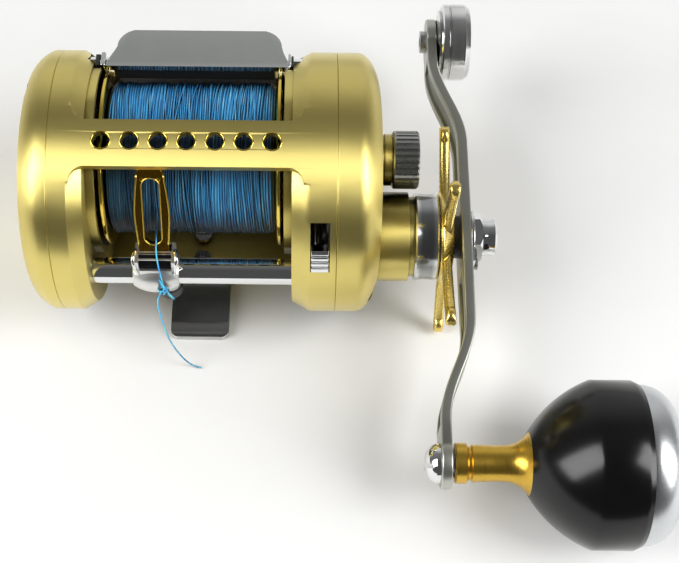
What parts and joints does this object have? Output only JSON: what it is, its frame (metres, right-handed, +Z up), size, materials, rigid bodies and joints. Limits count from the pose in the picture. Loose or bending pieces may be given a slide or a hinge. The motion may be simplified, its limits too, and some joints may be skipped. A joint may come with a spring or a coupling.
{
  "type": "trolling reel",
  "caption": "Round baitcasting trolling reel with a level wind, thumb bar clutch, star drag and a long counterbalanced power handle with a round knob.",
  "frame": {"origin": "centre of the foot's underside", "axes": "+X along the spool axis towards the handle, -Y to the front where the line leaves, +Z up"},
  "size_m": [0.1722, 0.1656, 0.0745],
  "materials": {
    "champagne_gold": "satin anodised",
    "polished_gold": "polished anodised",
    "orange_gold": "satin anodised",
    "gold_nitride": "polished coated",
    "chrome": "polished",
    "steel": "brushed",
    "brass": "machined",
    "arm_grey": "satin anodised",
    "gunmetal": "satin",
    "black_plastic": "matte",
    "brake_plastic": "matte",
    "knob_black": "satin anodised",
    "knob_silver": "satin",
    "line_blue": "braided"
  },
  "bodies": {
    "frame": {"frame": "champagne_gold", "foot": "chrome", "foot_screws": "steel", "palm_side_plate": "champagne_gold", "palm_plate_screws": "steel", "palm_bearing": "steel", "brake_ring": "steel", "levelwind_tube": "chrome", "worm_bushings": "brass", "gear_plate": "steel", "handle_side_plate": "champagne_gold", "handle_plate_screws": "steel", "pinion_bearing": "steel", "roller_clutch": "steel", "drive_bearing": "steel", "neck_collar": "chrome", "yoke_posts": "steel", "yoke_springs": "steel"},
    "spool": {"spool": "polished_gold", "spool_shaft": "steel", "spool_line": "line_blue", "brake_hub": "black_plastic", "brake_blocks": "brake_plastic", "click_gear": "steel", "shaft_pin": "steel"},
    "yoke": {"clutch_yoke": "brass"},
    "pinion": {"pinion": "brass"},
    "clutch_bar": {"clutch_bar": "chrome", "clutch_bar_pad": "black_plastic", "clutch_link": "steel"},
    "crank": {"drive_shaft": "steel", "levelwind_drive_gear": "brass", "main_gear": "brass", "drag_washers": "black_plastic", "drag_plates": "steel", "drag_springs": "steel", "arm_spacer": "black_plastic", "handle_arm": "arm_grey", "nut_retainer": "chrome", "handle_nut": "chrome", "retainer_screw": "steel", "counterweight": "chrome", "counterweight_screw": "steel", "knob_shaft": "steel", "knob_screw": "chrome"},
    "star_drag": {"star_drag": "polished_gold"},
    "knob": {"knob_hub": "orange_gold", "knob_body": "knob_black", "knob_cap": "knob_silver", "knob_bearings": "steel"},
    "worm": {"worm_shaft": "steel", "worm_gear": "brass"},
    "line_guide": {"guide_block": "chrome", "line_guide": "gold_nitride", "guide_pawl": "steel", "pawl_cap": "black_plastic", "free_line": "line_blue", "line_knot": "line_blue"},
    "cast_cap": {"cast_cap": "gunmetal"},
    "clicker": {"clicker_button": "chrome"}
  },
  "joints": [
    {"name": "crank_turn", "type": "hinge", "parent": "frame", "child": "crank", "pos_m": [0, -0.01541, 0.02956], "axis": [1, 0, 0], "continuous": true},
    {"name": "spool_spin", "type": "hinge", "parent": "frame", "child": "spool", "pos_m": [0, 0, 0.0447], "axis": [1, 0, 0], "continuous": true},
    {"name": "yoke_slide", "type": "slide", "parent": "frame", "child": "yoke", "axis": [1, 0, 0], "range_m": [0, 0.0017], "deforming": ["yoke_springs"]},
    {"name": "pinion_spin", "type": "hinge", "parent": "yoke", "child": "pinion", "pos_m": [0, 0, 0.0447], "axis": [1, 0, 0], "continuous": true},
    {"name": "clutch_press", "type": "slide", "parent": "frame", "child": "clutch_bar", "axis": [0, 0.766, -0.6428], "range_m": [0, 0.004]},
    {"name": "worm_spin", "type": "hinge", "parent": "frame", "child": "worm", "pos_m": [0, -0.03017, 0.03356], "axis": [1, 0, 0], "continuous": true},
    {"name": "guide_travel", "type": "slide", "parent": "frame", "child": "line_guide", "axis": [1, 0, 0], "range_m": [-0.0102, 0.0298]},
    {"name": "star_drag_turn", "type": "hinge", "parent": "crank", "child": "star_drag", "pos_m": [0, -0.01541, 0.02956], "axis": [1, 0, 0], "range_deg": [-270, 270]},
    {"name": "knob_spin", "type": "hinge", "parent": "crank", "child": "knob", "pos_m": [0, -0.08149, 0.02215], "axis": [1, 0, 0], "continuous": true},
    {"name": "cast_cap_turn", "type": "hinge", "parent": "frame", "child": "cast_cap", "pos_m": [0, 0, 0.0447], "axis": [1, 0, 0], "range_deg": [-270, 270]},
    {"name": "clicker_slide", "type": "hinge", "parent": "frame", "child": "clicker", "pos_m": [0, -0.0035, 0.0385], "axis": [-1, 0, 0], "range_deg": [0, 12]}
  ],
  "couplings": [
    {"joint": "spool_spin", "follows": "crank_turn", "ratio": -5},
    {"joint": "pinion_spin", "follows": "crank_turn", "ratio": -5},
    {"joint": "worm_spin", "follows": "crank_turn", "ratio": -2},
    {"joint": "yoke_slide", "follows": "clutch_press", "ratio": 0.425}
  ]
}
